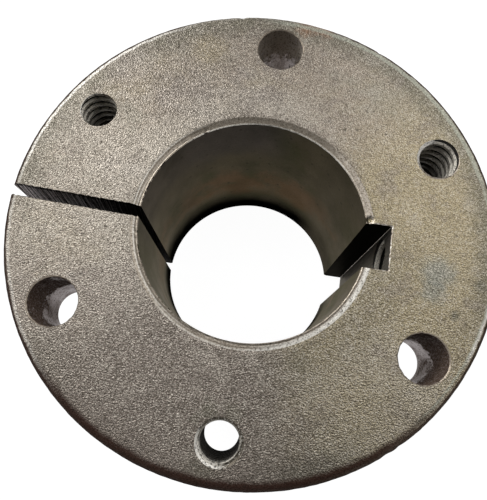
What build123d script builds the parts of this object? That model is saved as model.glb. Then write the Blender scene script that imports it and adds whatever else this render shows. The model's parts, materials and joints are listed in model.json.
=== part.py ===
from build123d import *
import os

os.makedirs("parts", exist_ok=True)

# Quick disconnect bushing: a split, tapered barrel under a round flange, with a keyed bore.
# Lengths are in millimetres and angles in degrees.
# The bore's axis is Z, the barrel's small end stands on Z = 0 and the flange is on top.
# The keyway lies towards +X and the saw cut towards -X.

# Tapered barrel: the taper is the change of diameter over a millimetre of length
overall_length = 31.75
barrel_large_diameter = 47.5
barrel_taper = 0.0625
barrel_root_radius = 0.8
barrel_end_chamfer = 0.8

# Flange: the bolt circle stands clear of the barrel, and the rim clear of the bolt circle
flange_thickness = 11.0
flange_edge_radius = 1.0
bolt_circle_beyond_barrel = 4.825
rim_beyond_bolt_circle = 5.725

# Bore, with a rolled-over mouth at the flange face
bore_diameter = 31.75
bore_mouth_width = 1.1
bore_mouth_drop = 0.35
bore_end_chamfer = 0.6

# Keyway
key_width = 6.4
key_depth = 3.225

# Saw cut: it runs a little out of true, so it has a turn and misses the axis by an offset
saw_width = 1.6
saw_turn = 1.5
saw_offset = 0.45

# Flange holes: plain holes for the pull-up screws alternate with tapped ones for jacking
holes_of_a_kind = 3
plain_hole_diameter = 6.75
plain_hole_angle = -30
plain_hole_edge = 0.2
tapped_hole_angle = 30
tapped_mouth_diameters = (6.3, 5.8, 6.5)

# Inside diameter of the threads, which are too fine to model as solids
thread_core_diameter = 5.2

# Set screw over the keyway: a socket screw with a cup point, screwed in from the flange's rim
set_screw_depth = 4.9
set_screw_setback = 1.5
set_screw_length = 7.9
set_screw_clearance = 0.1
set_screw_hole_chamfer = 0.6
set_screw_head_chamfer = 0.4
point_chamfer = 0.9
cup_depth = 0.7
socket_width = 3.18
socket_depth = 3.2

# Worked out from the sizes above
bore_radius = bore_diameter / 2
mouth_radius = bore_radius + bore_mouth_width
barrel_length = overall_length - flange_thickness
barrel_large_radius = barrel_large_diameter / 2
barrel_small_radius = barrel_large_radius - barrel_length * barrel_taper / 2
bolt_circle_radius = barrel_large_radius + bolt_circle_beyond_barrel
flange_radius = bolt_circle_radius + rim_beyond_bolt_circle
flange_diameter = flange_radius * 2
hole_step = 360 / holes_of_a_kind
thread_core_radius = thread_core_diameter / 2
key_floor_radius = bore_radius + key_depth
set_screw_height = overall_length - set_screw_depth
set_screw_radius = thread_core_radius - set_screw_clearance
cup_radius = set_screw_radius - point_chamfer


# Bushing: the turned form
with BuildPart() as bushing:
    with BuildSketch(Plane.XZ) as half_section:
        with BuildLine():
            outside = Polyline(
                (bore_radius, 0),
                (barrel_small_radius, 0),
                (barrel_large_radius, barrel_length),
                (flange_radius, barrel_length),
                (flange_radius, overall_length),
                (mouth_radius, overall_length),
            )
            mouth = TangentArc(
                outside @ 1,
                (bore_radius, overall_length - bore_mouth_drop),
                tangent=outside % 1,
            )
            Line(mouth @ 1, outside @ 0)
        make_face()
        corners = half_section.vertices()
        bore_end = corners.sort_by_distance((bore_radius, 0))[0]
        barrel_end = corners.sort_by_distance((barrel_small_radius, 0))[0]
        barrel_root = corners.sort_by_distance((barrel_large_radius, barrel_length))[0]
        flange_back = corners.sort_by_distance((flange_radius, barrel_length))[0]
        flange_front = corners.sort_by_distance((flange_radius, overall_length))[0]
        chamfer(bore_end, length=bore_end_chamfer)
        chamfer(barrel_end, length=barrel_end_chamfer)
        fillet(barrel_root, radius=barrel_root_radius)
        fillet([flange_back, flange_front], radius=flange_edge_radius)
    revolve(axis=Axis.Z)

    # Keyway, broached the whole length of the bore
    with BuildSketch(Plane.XY):
        Rectangle(key_floor_radius, key_width, align=(Align.MIN, Align.CENTER))
    extrude(amount=overall_length, mode=Mode.SUBTRACT)

    # Plain holes, with both edges broken
    with PolarLocations(bolt_circle_radius, holes_of_a_kind, start_angle=plain_hole_angle):
        Hole(plain_hole_diameter / 2)
    plain_edges = bushing.edges().filter_by(
        lambda edge: edge.geom_type == GeomType.CIRCLE
        and abs(edge.radius - plain_hole_diameter / 2) < 0.001
    )
    chamfer(plain_edges, length=plain_hole_edge)

    # Tapped holes, each countersunk to its own mouth
    for position, mouth_diameter in enumerate(tapped_mouth_diameters):
        angle = tapped_hole_angle + position * hole_step
        with Locations(Plane.XY.offset(overall_length)):
            with PolarLocations(bolt_circle_radius, 1, start_angle=angle):
                CounterSinkHole(
                    thread_core_radius,
                    mouth_diameter / 2,
                    depth=overall_length,
                    counter_sink_angle=90,
                )

    # Radial hole for the set screw, from the rim down to the keyway
    rim = Plane(origin=(flange_radius, 0, set_screw_height), x_dir=(0, 1, 0), z_dir=(1, 0, 0))
    with Locations(rim):
        CounterSinkHole(
            thread_core_radius,
            thread_core_radius + set_screw_hole_chamfer,
            depth=flange_radius - bore_radius,
            counter_sink_angle=90,
        )

    # Saw cut through one side of the flange and the barrel
    with BuildSketch(Plane.XY):
        with Locations((0, -saw_offset)):
            Rectangle(
                flange_diameter,
                saw_width,
                rotation=-saw_turn,
                align=(Align.MAX, Align.CENTER),
            )
    extrude(amount=overall_length, mode=Mode.SUBTRACT)

bushing.part.label = "bushing"
export_step(bushing.part, "parts/bushing.step")


# Set screw: the turned form, on a plane whose X runs down the hole
screw_head = (flange_radius - set_screw_setback, 0, set_screw_height)
screw_lengthwise = Plane(origin=screw_head, x_dir=(-1, 0, 0), z_dir=(0, 1, 0))
screw_end_on = Plane(origin=screw_head, x_dir=(0, 1, 0), z_dir=(-1, 0, 0))

with BuildPart() as set_screw:
    with BuildSketch(screw_lengthwise):
        with BuildLine():
            Polyline(
                (0, 0),
                (0, set_screw_radius - set_screw_head_chamfer),
                (set_screw_head_chamfer, set_screw_radius),
                (set_screw_length - point_chamfer, set_screw_radius),
                (set_screw_length, cup_radius),
                (set_screw_length - cup_depth, 0),
                close=True,
            )
        make_face()
    revolve(axis=Axis(screw_head, (-1, 0, 0)))

    # Hexagon socket
    with BuildSketch(screw_end_on):
        RegularPolygon(socket_width / 2, 6, major_radius=False)
    extrude(amount=socket_depth, mode=Mode.SUBTRACT)

set_screw.part.label = "set_screw"
export_step(set_screw.part, "parts/set_screw.step")
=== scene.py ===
import json
import math
from functools import cached_property

import bmesh
import bpy
from bpy.props import (
    FloatProperty,
    FloatVectorProperty,
    IntProperty,
    PointerProperty,
)
from mathutils import Matrix, Vector, noise


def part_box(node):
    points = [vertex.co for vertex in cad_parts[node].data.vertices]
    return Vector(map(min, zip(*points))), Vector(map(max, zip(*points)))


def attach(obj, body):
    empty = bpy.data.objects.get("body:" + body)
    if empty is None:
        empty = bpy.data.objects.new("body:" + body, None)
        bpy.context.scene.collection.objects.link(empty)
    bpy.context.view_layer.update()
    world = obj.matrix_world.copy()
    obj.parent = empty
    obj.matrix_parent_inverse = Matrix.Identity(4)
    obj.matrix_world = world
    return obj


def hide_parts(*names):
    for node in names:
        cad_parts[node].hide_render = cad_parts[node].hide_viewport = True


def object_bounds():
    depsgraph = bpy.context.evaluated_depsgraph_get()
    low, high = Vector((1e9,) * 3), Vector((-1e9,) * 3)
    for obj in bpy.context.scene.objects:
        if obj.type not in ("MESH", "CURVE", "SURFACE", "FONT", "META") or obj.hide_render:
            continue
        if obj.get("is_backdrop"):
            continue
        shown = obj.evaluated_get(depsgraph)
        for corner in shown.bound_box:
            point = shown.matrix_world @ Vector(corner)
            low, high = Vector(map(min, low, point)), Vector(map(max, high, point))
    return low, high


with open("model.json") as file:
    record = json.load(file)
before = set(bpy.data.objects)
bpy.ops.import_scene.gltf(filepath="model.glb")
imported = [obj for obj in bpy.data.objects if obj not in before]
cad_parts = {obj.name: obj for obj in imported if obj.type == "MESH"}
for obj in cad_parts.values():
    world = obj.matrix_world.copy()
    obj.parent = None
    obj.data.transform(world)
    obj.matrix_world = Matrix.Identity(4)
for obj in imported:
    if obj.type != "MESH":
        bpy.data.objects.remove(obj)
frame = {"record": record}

bl_info = {
    "name": "Quick Disconnect Bushing",
    "version": (1, 0, 0),
    "blender": (4, 5, 0),
    "location": "3D View > Sidebar > Bushing",
    "description": "Dresses the packed bushing: its cast body, tapped holes, set screw and studio",
    "category": "Add Mesh",
}

MM = 0.001
WHOLE_TURN = 2 * math.pi
CAD_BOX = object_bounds()
MOUNTS = {mount["name"]: mount for mount in frame["record"]["mounts"]}
BODY_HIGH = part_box("bushing")[1]
SCREW_LOW, SCREW_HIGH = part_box("set_screw")
# The flange face's height in millimetres, for the finishes
TOP = BODY_HIGH.z / MM
# Lays what is made along Z in the set screw's hole
SIDEWAYS = Matrix.Translation((0, 0, ((SCREW_LOW + SCREW_HIGH) / 2).z)) @ Matrix.Rotation(
    math.pi / 2, 4, "Y"
)


def mount_size(mount, size):
    """A size of a mount of the record, in metres."""
    return MOUNTS[mount]["dims"][size] * MM


def length(name, default, description):
    """A length, in metres."""
    return FloatProperty(
        name=name,
        description=description,
        default=default,
        min=0,
        precision=5,
        unit="LENGTH",
        subtype="DISTANCE",
    )


def angle(name, degrees, description):
    """An angle, whose default is given in degrees."""
    return FloatProperty(
        name=name,
        description=description,
        default=math.radians(degrees),
        subtype="ANGLE",
        unit="ROTATION",
    )


def colour(name, default, description):
    """A linear colour."""
    return FloatVectorProperty(
        name=name,
        description=description,
        default=default,
        size=3,
        min=0,
        max=1,
        subtype="COLOR",
    )


def share(name, default, description):
    """A share from 0 to 1."""
    return FloatProperty(
        name=name, description=description, default=default, min=0, max=1, subtype="FACTOR"
    )


class BodySizes(bpy.types.PropertyGroup):
    """Sizes of the flange, the barrel, the bore and what is cut into them."""

    bore_radius: length(
        "Bore radius", mount_size("shaft_bore", "r_mm"), "Radius of the shaft bore"
    )
    overall_length: length("Overall length", BODY_HIGH.z, "Height of the body on its barrel")
    flange_radius: length("Flange radius", BODY_HIGH.y, "Radius of the flange's rim")
    flange_thickness: length("Flange thickness", 11 * MM, "Thickness of the flange")
    flange_rounding: length("Flange rounding", 1 * MM, "Radius of the rim's two edges")
    barrel_large_radius: length(
        "Barrel at the flange", 23.75 * MM, "Radius of the taper at the flange's back"
    )
    barrel_small_radius: length(
        "Barrel at its end", 23.1016 * MM, "Radius of the taper at the small end"
    )
    barrel_root: length("Barrel root", 0.8 * MM, "Radius of the fillet behind the flange")
    barrel_chamfer: length("Barrel chamfer", 0.8 * MM, "Chamfer at the barrel's end")
    bore_chamfer: length("Bore chamfer", 0.6 * MM, "Chamfer at the bore's lower end")
    mouth_width: length("Mouth width", 1.1 * MM, "Width of the bore's rolled-over mouth")
    mouth_drop: length("Mouth drop", 0.35 * MM, "Depth of the bore's rolled-over mouth")
    key_width: length("Keyway width", 6.4 * MM, "Width of the keyway")
    key_depth: length("Keyway depth", 3.225 * MM, "Depth of the keyway in the bore's wall")
    saw_width: length("Saw cut", 1.6 * MM, "Width of the saw cut")
    saw_turn: angle("Saw cut turn", 1.5, "How far the saw cut is turned off the radius")
    saw_offset: length("Saw cut offset", 0.45 * MM, "How far the saw cut misses the axis")
    edge_break: length("Edge break", 0.12 * MM, "Width of the broken edges of the cuts")


class HoleSizes(bpy.types.PropertyGroup):
    """Sizes of the plain and the tapped holes."""

    circle_radius: length(
        "Hole circle",
        mount_size("pull_up_holes", "pcd_mm") / 2,
        "Radius of the circle that the flange's holes lie on",
    )
    count: IntProperty(
        name="Holes of a kind",
        description="How many plain holes there are, and how many tapped ones",
        default=MOUNTS["pull_up_holes"]["dims"]["count"],
        min=1,
    )
    plain_radius: length(
        "Plain hole", mount_size("pull_up_holes", "hole_r_mm"), "Radius of a plain hole"
    )
    plain_angle: angle("First plain hole", -30, "Where the first plain hole lies")
    tapped_angle: angle("First tapped hole", 30, "Where the first tapped hole lies")
    thread_core: length(
        "Thread core", mount_size("jacking_holes", "hole_r_mm"), "Radius inside the thread"
    )
    thread_outside: length("Thread outside", 3.175 * MM, "Radius of the thread's grooves")
    thread_pitch: length("Thread pitch", 1.27 * MM, "Rise of the thread in one turn")
    tapped_mouths: FloatVectorProperty(
        name="Tapped mouths",
        description="Radius of each tapped hole's mouth at the flange face",
        default=(3.08 * MM, 2.68 * MM, 3.12 * MM),
        size=3,
        unit="LENGTH",
    )
    countersink_slope: angle("Countersink slope", 34, "Slope of the tapped holes' countersinks")
    side_hole_chamfer: length(
        "Side hole chamfer", 0.6 * MM, "Chamfer of the set screw's hole at the rim"
    )


class ScrewSizes(bpy.types.PropertyGroup):
    """Sizes of the set screw."""

    radius: length("Thread outside", 3.11 * MM, "Radius of the screw's thread")
    core: length("Thread core", (SCREW_HIGH.y - SCREW_LOW.y) / 2, "Radius inside the thread")
    head_chamfer: length("Head chamfer", 0.4 * MM, "Chamfer round the socket's end")
    point_chamfer: length("Point chamfer", 1.3 * MM, "Chamfer of the cup point")
    cup_depth: length("Cup depth", 0.7 * MM, "Depth of the cup in the point")
    socket_width: length("Socket width", 3.18 * MM, "Hexagon socket across its flats")
    socket_depth: length("Socket depth", 3.2 * MM, "Depth of the hexagon socket")


class SurfaceColours(bpy.types.PropertyGroup):
    """Colours of the bushing's surfaces."""

    cast: colour("Cast skin", (0.343, 0.289, 0.23), "Grey-brown skin of flange and rim")
    # Also painted light in the flange face's lighter zones and on the wall of the upper plain hole
    pale_skin_and_painted_light: colour("Rubbed skin", (0.5, 0.455, 0.39), "Skin rubbed bright")
    # Also painted shade: a dark zone at the flange's lower rim, dark lines along the bore's roll
    # and the roll's upper part
    dark_specks_and_shade: colour("Pits", (0.1, 0.085, 0.065), "Pits and specks in the skin")
    green: colour("Green tint", (0.3, 0.285, 0.225), "Greenish clouds in the skin")
    violet: colour("Violet tint", (0.31, 0.27, 0.245), "Violet clouds in the skin")
    straw: colour("Straw tint", (0.39, 0.325, 0.196), "Straw-coloured clouds in the skin")
    rust: colour("Rust", (0.27, 0.15, 0.085), "Rust at the rim")
    # Also painted shade in the face's darker zones and where the face rolls into the bore at the
    # top
    shade: colour("Darker skin", (0.205, 0.172, 0.148), "Skin where it is darkest")
    slate: colour("Slate stain", (0.235, 0.25, 0.22), "Blue-grey stains on the face")
    # Real smudges in the stains, and painted shade in the face's darker zones
    smudge_and_shade: colour("Smudge", (0.13, 0.125, 0.09), "Dark greenish smudges on the face")
    # Some wear, and painted highlights: on the rim's rounding, along the bore's roll, on one side
    # of each countersink and on the keyway's edges
    bright_wear_and_highlight: colour("Worn edge", (0.75, 0.72, 0.66), "Skin worn bright along the rim's edge")
    # Partly a painted highlight on the rim's rounding
    pale_edge_and_highlight: colour("Pale edge", (0.4, 0.41, 0.34), "Pale greenish line along the rim's edge")
    # Also painted shade on the rim's rounding at the bottom and along its outer edge
    rim: colour("Rim", (0.037, 0.017, 0.012), "Brown scale on the rim's side")
    bore: colour("Bore", (0.058, 0.048, 0.029), "Dark wall of the bore")
    bore_rust: colour("Bore rust", (0.115, 0.055, 0.024), "Rusty ring in the bore")
    bore_violet: colour("Bore tint", (0.072, 0.062, 0.066), "Violet tint in the bore")
    bore_green: colour("Bore green", (0.053, 0.057, 0.024), "Greenish tint in the bore")
    # Also painted shade: the bore's foot, the thread roots, deep in the tapped holes, under the
    # saw cut's upper edge and on the bore's walls beside the cuts
    black: colour("Black grease", (0.012, 0.011, 0.009), "Black foot of the bore")
    taper: colour("Taper", (0.3, 0.28, 0.25), "Turned taper and end face")
    drilled: colour("Drilled wall", (0.15, 0.105, 0.08), "Brown wall of the plain holes")
    drilled_light: colour("Drilled streaks", (0.44, 0.39, 0.385), "Streaks in the plain holes")
    # Lighter partly as painted light, where the lamps reach the threads little
    thread: colour("Threads", (0.62, 0.58, 0.5), "Cut threads")
    sawn: colour("Sawn wall", (0.16, 0.14, 0.13), "Walls of the saw cut")
    sawn_light: colour("Sawn marks", (0.5, 0.43, 0.42), "Bare marks of the saw")
    broached: colour("Keyway wall", (0.05, 0.046, 0.04), "Walls of the keyway")
    screw: colour("Black steel", (0.06, 0.06, 0.06), "Blackened set screw")


class StudioSettings(bpy.types.PropertyGroup):
    """The camera and the floor."""

    camera_place: FloatVectorProperty(
        name="Camera place",
        description="Where the camera stands",
        default=(1.019 * MM, -20.563 * MM, 89.844 * MM),
        size=3,
        unit="LENGTH",
        subtype="TRANSLATION",
    )
    camera_turn: FloatVectorProperty(
        name="Camera turn",
        description="Axis of the camera's turn from looking straight down, times its angle",
        default=tuple(math.radians(part) for part in (11.627, 0.228, 8.8)),
        size=3,
        subtype="XYZ",
    )
    lens: FloatProperty(
        name="Lens",
        description="Focal length in millimetres",
        default=31.898,
        subtype="DISTANCE_CAMERA",
    )
    shift: FloatVectorProperty(
        name="Lens shift",
        description="Sideways and upward shift of the view",
        default=(0.00285, 0.0765),
        size=2,
    )
    floor_colour: colour("Floor", (0.9, 0.9, 0.9), "Colour of the floor")
    floor_white: share("Floor white", 0.97, "How white the floor is seen, apart from its light")
    floor_width: length("Floor width", 3, "Side of the square floor")


class BushingSettings(bpy.types.PropertyGroup):
    """All the settings of the bushing's scene."""

    body: PointerProperty(type=BodySizes)
    holes: PointerProperty(type=HoleSizes)
    screw: PointerProperty(type=ScrewSizes)
    colours: PointerProperty(type=SurfaceColours)
    studio: PointerProperty(type=StudioSettings)


# Materials


class Value:
    """A number that a node tree works out: arithmetic on it adds the nodes for it."""

    def __init__(self, nodes, socket):
        self.nodes = nodes
        self.socket = socket

    def __add__(self, other):
        return self.nodes.math("ADD", self, other)

    def __radd__(self, other):
        return self.nodes.math("ADD", other, self)

    def __sub__(self, other):
        return self.nodes.math("SUBTRACT", self, other)

    def __rsub__(self, other):
        return self.nodes.math("SUBTRACT", other, self)

    def __mul__(self, other):
        return self.nodes.math("MULTIPLY", self, other)

    def __rmul__(self, other):
        return self.nodes.math("MULTIPLY", other, self)

    def __truediv__(self, other):
        return self.nodes.math("DIVIDE", self, other)

    def __rtruediv__(self, other):
        return self.nodes.math("DIVIDE", other, self)


class Nodes:
    """A node tree in the making."""

    def __init__(self, owner):
        owner.use_nodes = True
        self.tree = owner.node_tree
        self.tree.nodes.clear()

    def node(self, kind, settings=None, inputs=None):
        """A node of this kind, its settings made first and its sockets fed after them."""
        node = self.tree.nodes.new(kind)
        for name, setting in (settings or {}).items():
            setattr(node, name, setting)
        for name, value in (inputs or {}).items():
            self.feed(node.inputs[name], value)
        return node

    def feed(self, socket, value):
        """Links a value or an output to a socket, or sets the socket to a number or a colour."""
        if isinstance(value, Value):
            value = value.socket
        if isinstance(value, bpy.types.NodeSocket):
            self.tree.links.new(value, socket)
        elif socket.type == "RGBA":
            socket.default_value = (*value[:3], 1)
        else:
            socket.default_value = value

    def math(self, operation, *values):
        node = self.node("ShaderNodeMath", {"operation": operation}, dict(enumerate(values)))
        return Value(self, node.outputs["Value"])

    def most(self, first, *others):
        """The largest of some values."""
        for other in others:
            first = self.math("MAXIMUM", first, other)
        return first

    def vector(self, operation, *values, **named):
        inputs = {**dict(enumerate(values)), **named}
        node = self.node("ShaderNodeVectorMath", {"operation": operation}, inputs)
        return node.outputs["Vector"]

    def parts(self, vector):
        outputs = self.node("ShaderNodeSeparateXYZ", inputs={"Vector": vector}).outputs
        return [Value(self, outputs[axis]) for axis in "XYZ"]

    def combine(self, x, y, z):
        return self.node("ShaderNodeCombineXYZ", inputs={"X": x, "Y": y, "Z": z}).outputs["Vector"]

    def ramp(self, value, start, end, low=0, high=1):
        """Low up to the start, high from the end on, and smooth between them."""
        node = self.node(
            "ShaderNodeMapRange",
            {"interpolation_type": "SMOOTHSTEP"},
            {"Value": value, "From Min": start, "From Max": end, "To Min": low, "To Max": high},
        )
        return Value(self, node.outputs["Result"])

    def layers(self, shade, *coats):
        """A colour with coats over it, the last on top. A coat is a colour and its amount."""
        for tint, amount in coats:
            inputs = {0: amount, 6: shade, 7: tint}
            shade = self.node("ShaderNodeMix", {"data_type": "RGBA"}, inputs).outputs[2]
        return shade

    def seen(self):
        """1 for rays from the camera, and for those that metal or glass sends on."""
        paths = self.node("ShaderNodeLightPath").outputs
        mirrored = self.most(paths["Is Glossy Ray"], paths["Is Transmission Ray"])
        return self.most(paths["Is Camera Ray"], mirrored)


class Finish(Nodes):
    """A material in the making. Its place and its sizes are in millimetres."""

    def __init__(self, name, **constants):
        self.material = bpy.data.materials.new(name)
        super().__init__(self.material)
        self.surface = self.node("ShaderNodeBsdfPrincipled", inputs=constants)
        self.output = self.node("ShaderNodeOutputMaterial")
        self.feed(self.output.inputs["Surface"], self.surface.outputs["BSDF"])
        coordinates = self.node("ShaderNodeTexCoord").outputs["Object"]
        self.place = self.vector("SCALE", coordinates, Scale=1 / MM)
        self.x, self.y, self.z = self.parts(self.place)

    @cached_property
    def radius(self):
        """The distance from the bore's axis."""
        return self.math("SQRT", self.x * self.x + self.y * self.y)

    def sector(self, middle, reach, soft=12):
        """1 within this reach of the middle direction, in degrees, and 0 beyond it."""
        middle = math.radians(middle)
        facing = (self.x * math.cos(middle) + self.y * math.sin(middle)) / self.radius
        ends = [math.cos(math.radians(min(180, reach + part))) for part in (soft, 0)]
        return self.ramp(facing, *ends)

    def band(self, value, middle, width, soft):
        """1 where the value is within half the width of the middle, fading over soft."""
        away = self.math("ABSOLUTE", value - middle)
        return self.ramp(away, width / 2 + soft, width / 2)

    def stretch(self, x, y, z):
        """The place, stretched along each axis."""
        return self.vector("MULTIPLY", self.place, (x, y, z))

    def noise(self, scale, place=None, detail=2, rough=0.5, twist=0):
        """Clouds from 0 to 1, about as many in a millimetre as the scale says."""
        inputs = {
            "Vector": self.place if place is None else place,
            "Scale": scale,
            "Detail": detail,
            "Roughness": rough,
            "Distortion": twist,
        }
        return Value(self, self.node("ShaderNodeTexNoise", inputs=inputs).outputs["Fac"])

    def cells(self, scale, feature="F1"):
        """The distance from the middles of scattered cells."""
        inputs = {"Vector": self.place, "Scale": scale}
        node = self.node("ShaderNodeTexVoronoi", {"feature": feature}, inputs)
        return Value(self, node.outputs["Distance"])

    def spot(self, x, y, radius, ragged):
        """1 inside a ragged spot on the flange face, and 0 outside it."""
        across = self.x - x
        along = self.y - y
        distance = self.math("SQRT", across * across + along * along)
        return self.ramp(distance + ragged, radius * 1.5, radius * 0.3)

    def cover(self, tint, amount):
        """A matt coat over the surface, whole where the amount is 1."""
        coat = self.node("ShaderNodeBsdfDiffuse", inputs={"Color": tint})
        shaders = {0: amount, 1: self.surface.outputs[0], 2: coat.outputs[0]}
        coated = self.node("ShaderNodeMixShader", inputs=shaders)
        self.feed(self.output.inputs["Surface"], coated.outputs[0])

    def roughness(self, texture, low, high):
        """A roughness that goes from low to high with a texture."""
        return self.ramp(texture, 0.3, 0.7, low, high)

    def done(self, shade, roughness, relief=None, depth=0):
        """The material with this colour, roughness and relief, whose height of 1 is depth deep."""
        self.feed(self.surface.inputs["Base Color"], shade)
        self.feed(self.surface.inputs["Roughness"], roughness)
        if relief is not None:
            inputs = {"Height": relief, "Strength": 1, "Distance": depth * MM}
            normal = self.node("ShaderNodeBump", inputs=inputs).outputs["Normal"]
            self.feed(self.surface.inputs["Normal"], normal)
        return self.material


# The lighter zones are painted light and the darker ones painted shade, set where the lamps leave
# the face too dark or too bright; the straw and violet zones are tints
ZONES = (
    # parts of the flange face by direction: the tint, the middle, the reach and the softness in
    # degrees, the ragged radii in millimetres between which it comes up, and the strength
    ("straw", 348, 38, 38, None, 0.95),
    ("violet", 238, 25, 22, None, 0.55),
    ("pale_skin_and_painted_light", 200, 45, 20, (27, 19), 0.3),
    ("pale_skin_and_painted_light", 110, 30, 25, (24, 18), 0.55),
    ("shade", 122, 30, 20, (23, 27), 0.3),
    ("pale_skin_and_painted_light", 176, 14, 20, None, 0.4),
    ("pale_skin_and_painted_light", 311, 9, 16, (19, 24), 0.4),
    ("smudge_and_shade", 48, 52, 22, (29, 33), 0.75),
    ("smudge_and_shade", 259, 30, 20, (29, 33), 0.95),
    ("dark_specks_and_shade", 262, 16, 16, (29, 33), 0.45),
    ("smudge_and_shade", 146, 30, 14, (29, 33), 0.65),
    ("smudge_and_shade", 128, 10, 12, (29, 33), 0.3),
    ("smudge_and_shade", 262, 20, 20, None, 0.15),
    ("smudge_and_shade", 298, 50, 25, (26, 19), 0.32),
    ("shade", 254, 19, 25, None, 0.95),
)

STAINS = (
    # the tint, x and y on the flange face and the radius, in millimetres, and the strength
    ("rust", 3.6, 33.0, 1.7, 0.75),
    ("rust", 6.4, 32.8, 1.3, 0.7),
    ("slate", 25.8, -2.6, 2.4, 0.75),
    ("slate", 25.3, -5.2, 1.6, 0.65),
    ("smudge_and_shade", 31.6, -3.4, 0.8, 0.7),
    ("smudge_and_shade", 28.4, -7.9, 0.7, 0.8),
    ("smudge_and_shade", -1.8, -32.0, 2.2, 0.5),
    ("smudge_and_shade", 8.7, -17.4, 1.5, 0.4),
    ("smudge_and_shade", -1.9, -25.0, 1.2, 0.7),
    ("smudge_and_shade", 1.3, -24.8, 1.2, 0.6),
    ("smudge_and_shade", -3.4, -26.3, 0.8, 0.4),
    ("straw", 17.0, -22.0, 5.0, 0.45),
    ("straw", 22.8, -9.8, 2.6, 0.5),
    ("straw", -10.5, 26.7, 2.6, 0.5),
    ("smudge_and_shade", -30.0, -5.4, 2.6, 0.15),
    ("smudge_and_shade", -31.1, 3.1, 1.6, 0.25),
    ("violet", -21.8, 22.3, 3.5, 0.5),
    ("dark_specks_and_shade", 8.7, 17.7, 0.35, 0.8),
    ("dark_specks_and_shade", 11.0, 16.8, 0.3, 0.8),
)


def zone_coats(finish, colours, edge):
    """The zones of the flange face as coats of colour."""
    for tint, middle, reach, soft, radii, strength in ZONES:
        amount = finish.sector(middle, reach, soft)
        if radii:
            amount = finish.ramp(edge, *radii) * amount
        yield getattr(colours, tint), amount * strength


def stain_coats(finish, colours, ragged):
    """The stains of the flange face as coats of colour."""
    for tint, x, y, reach, strength in STAINS:
        stain = finish.spot(x, y, reach, ragged * min(1, reach / 2))
        yield getattr(colours, tint), stain * strength


def cast_skin(colours):
    """Pebbled grey-brown skin, clouded, pitted and stained, with painted light and shade in zones,
    by the bore's mouth and on the rim, which is a little worn.
    """
    finish = Finish("cast_skin", Metallic=0.85)
    radius = finish.radius
    grain = finish.noise(5.5, detail=3, rough=0.7)
    flecks = finish.noise(2.2, detail=2, rough=0.6)
    clouds = finish.noise(0.11, detail=5, rough=0.65)
    drift = finish.noise(0.07, finish.stretch(1, 1.4, 1), detail=4, rough=0.6)
    mottle = finish.noise(0.3, detail=4, rough=0.6)
    ragged = (finish.noise(0.8, detail=4, rough=0.65) - 0.5) * 3
    # Painted shade where the face rolls into the bore's mouth at the top
    mouth = finish.ramp(radius, 18.4, 16.9) * finish.sector(80, 36, 18)
    shade = finish.layers(
        colours.cast,
        (colours.green, finish.ramp(clouds, 0.5, 0.68) * 0.6),
        (colours.violet, finish.ramp(clouds, 0.48, 0.34) * 0.6),
        (colours.straw, finish.ramp(drift, 0.5, 0.7) * 0.5),
        *zone_coats(finish, colours, radius + ragged),
        (colours.shade, mouth * 0.55),
        (colours.pale_skin_and_painted_light, finish.ramp(mottle, 0.52, 0.68) * 0.3),
        (colours.shade, finish.ramp(mottle, 0.48, 0.32) * 0.45),
        *stain_coats(finish, colours, ragged),
    )

    # The grain is quieter where the face's painted shade is darkest and where it is smoothest
    dim = finish.ramp(radius + ragged, 29, 33) * finish.sector(262, 22, 18) * 0.6
    calm = 1 - finish.sector(45, 50, 25) * 0.22
    pits = finish.ramp(finish.cells(0.5), 0.14, 0.05) * finish.ramp(finish.noise(0.6), 0.5, 0.6)
    shade = finish.layers(
        shade,
        (colours.pale_skin_and_painted_light, finish.ramp(grain, 0.5, 0.62) * (1 - dim) * calm * 0.85),
        (colours.dark_specks_and_shade, finish.ramp(grain, 0.5, 0.4) * calm * 0.8),
        (colours.dark_specks_and_shade, finish.ramp(flecks, 0.42, 0.28) * 0.5),
        (colours.dark_specks_and_shade, pits * 0.8),
    )

    # Pale and bright lines along the rim's edge: painted highlights on its rounding, with some
    # wear
    wander = (finish.noise(0.7, detail=3, rough=0.6) - 0.5) * 0.5
    edge = radius + wander
    pale = finish.most(
        finish.band(edge, 33.2, 0.35, 0.25) * finish.sector(55, 30),
        finish.band(edge, 33.15, 0.15, 0.15) * finish.sector(350, 25),
    )
    ends = finish.most(
        finish.sector(147, 14, 24), finish.sector(343, 4, 6), finish.sector(200, 20, 12) * 0.4
    )
    shade = finish.layers(
        shade,
        (colours.pale_edge_and_highlight, pale * 0.6),
        (colours.bright_wear_and_highlight, finish.band(edge, 33.35, 0.15, 0.2) * ends * 0.75),
    )
    # Beyond them a brown-black cover: painted shade on the rounding at the bottom and along the
    # outer edge, except at the top, and the same cover on the rim's side
    painted_shade_at_bottom = finish.ramp(edge, 32.5, 33.35) * finish.sector(271, 36, 22)
    line = finish.ramp(edge, 33.5, 33.75) * (1 - finish.sector(97, 14, 10) * 0.8)
    side = finish.ramp(finish.z + wander, TOP - 0.3, TOP - 0.7) * finish.ramp(radius, 33, 33.3)
    scale = finish.layers(colours.rim, (colours.black, finish.ramp(grain, 0.5, 0.3)))
    finish.cover(scale, finish.most(painted_shade_at_bottom, line, side) * 0.92)

    leather = finish.noise(5.1, detail=1, rough=0.5)
    pebbles = finish.cells(4.5, feature="SMOOTH_F1")
    even = 0.55 + finish.sector(215, 40, 45) * 0.45
    relief = (leather + pebbles * 0.4) * even + clouds * 0.5
    return finish.done(shade, finish.roughness(clouds, 0.33, 0.4), relief, 0.16)


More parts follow.
